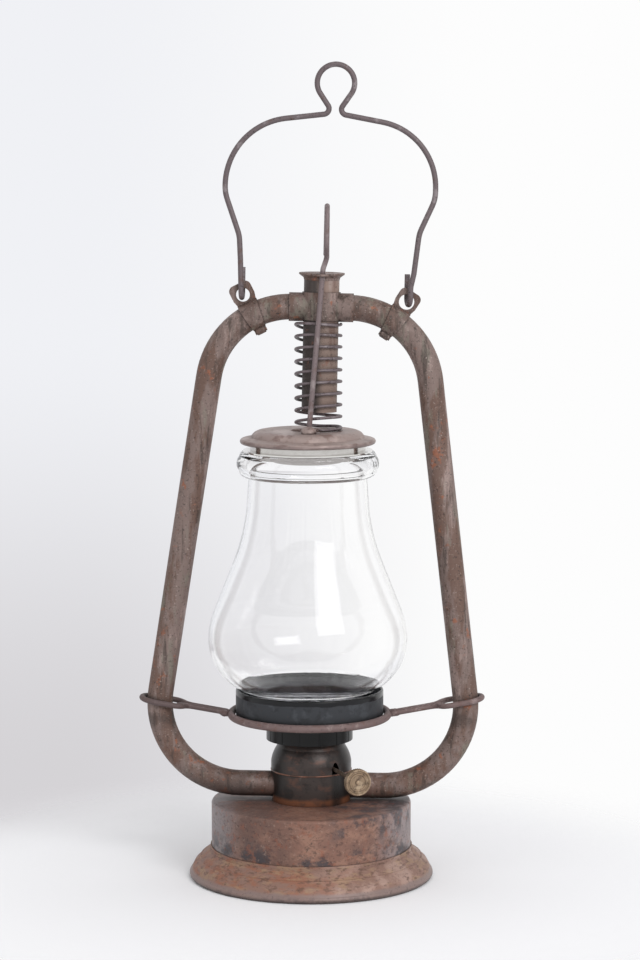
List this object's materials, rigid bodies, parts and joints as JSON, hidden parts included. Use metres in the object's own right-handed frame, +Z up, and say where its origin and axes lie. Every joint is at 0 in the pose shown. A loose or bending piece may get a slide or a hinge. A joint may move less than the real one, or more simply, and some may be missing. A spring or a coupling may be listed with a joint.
{
  "type": "kerosene wick lantern",
  "caption": "Tubular wick lantern with a drum fount, side air tubes, pear-shaped glass globe, spring-held bell with lift wire, globe plate with guard wires, wick winder and swinging wire bail.",
  "frame": {"origin": "on the floor at the middle of the footprint: midway between the outer ends of the guard wires and in the middle of the round base", "axes": "+Z up; -Y is the front, the side of the winder knob and the lift wire; +X is to the right of the viewer in front, towards the right side tube; the bail hangs across X"},
  "size_m": [0.2118, 0.15, 0.4972],
  "materials": {
    "fount_tin": "worn tinplate gone brown with rust, dull",
    "frame_tin": "rusted tinplate tube, mauve brown with orange patches",
    "bell_tin": "worn tinplate, pale pinkish grey with rust",
    "burner_tin": "heat-browned tinplate",
    "black_tin": "blackened tinplate, sooty, satin",
    "guard_wire": "rusty iron wire",
    "bail_wire": "dark iron wire with light rust",
    "lift_wire": "dark iron wire with light rust",
    "spring_wire": "dark spring steel wire",
    "shaft_steel": "dull brassy steel",
    "knob_brass": "worn brass",
    "cap_brass": "dull brass",
    "cork": "cork washer",
    "globe_glass": "clear blown glass, slightly dusty",
    "cotton": "woven cotton, charred at the top edge"
  },
  "bodies": {
    "frame": {"base_skirt": "fount_tin", "fount_drum": "fount_tin", "fount_bottom": "fount_tin", "filler_neck": "fount_tin", "burner_collar": "fount_tin", "burner_chamber": "fount_tin", "side_tube_left": "frame_tin", "side_tube_right": "frame_tin", "crown_tee": "frame_tin", "stack_tube": "frame_tin", "crown_cap": "frame_tin", "ear_band_left": "frame_tin", "ear_band_right": "frame_tin", "burner_dome": "burner_tin", "burner_gallery": "burner_tin", "burner_cone": "burner_tin", "burner_deck": "burner_tin", "wick_tube": "burner_tin", "winder_cheeks": "burner_tin", "lift_spring": "spring_wire"},
    "carriage": {"globe_plate": "black_tin", "guard_ring": "guard_wire", "guard_loop_left": "guard_wire", "guard_loop_right": "guard_wire", "globe": "globe_glass"},
    "bell": {"bell": "bell_tin", "bell_sleeve": "bell_tin", "lift_wire": "lift_wire"},
    "bail": {"bail": "bail_wire"},
    "winder": {"winder_shaft": "shaft_steel", "wick_wheels": "shaft_steel", "winder_knob": "knob_brass"},
    "wick": {"wick": "cotton"},
    "washer": {"filler_washer": "cork"},
    "cap": {"filler_cap": "cap_brass"}
  },
  "joints": [
    {"name": "bail_swing", "type": "hinge", "parent": "frame", "child": "bail", "pos_m": [0.00792, 0, 0.36155], "axis": [0.999, 0, -0.0445], "range_deg": [-118, 118]},
    {"name": "carriage_lift", "type": "slide", "parent": "frame", "child": "carriage", "axis": [0, 0, 1], "range_m": [0, 0.01], "deforming": ["lift_spring"]},
    {"name": "bell_lift", "type": "slide", "parent": "carriage", "child": "bell", "axis": [0, 0, 1], "range_m": [0, 0.015], "deforming": ["lift_spring"]},
    {"name": "winder_turn", "type": "hinge", "parent": "frame", "child": "winder", "pos_m": [0.00574, 0.00243, 0.0694], "axis": [0.3633, -0.9317, 0], "range_deg": [-90, 180]},
    {"name": "wick_rise", "type": "slide", "parent": "frame", "child": "wick", "axis": [0, 0, 1], "range_m": [-0.0164, 0.0082]},
    {"name": "cap_rise", "type": "slide", "parent": "frame", "child": "washer", "axis": [0, 0, 1], "range_m": [0, 0.003]},
    {"name": "cap_turn", "type": "hinge", "parent": "washer", "child": "cap", "pos_m": [-0.0005, 0.042, 0.053], "axis": [0, 0, 1], "range_deg": [0, 720]}
  ],
  "couplings": [
    {"joint": "wick_rise", "follows": "winder_turn", "m_per_rad": -0.0052},
    {"joint": "cap_rise", "follows": "cap_turn", "m_per_rad": 0.000238}
  ]
}
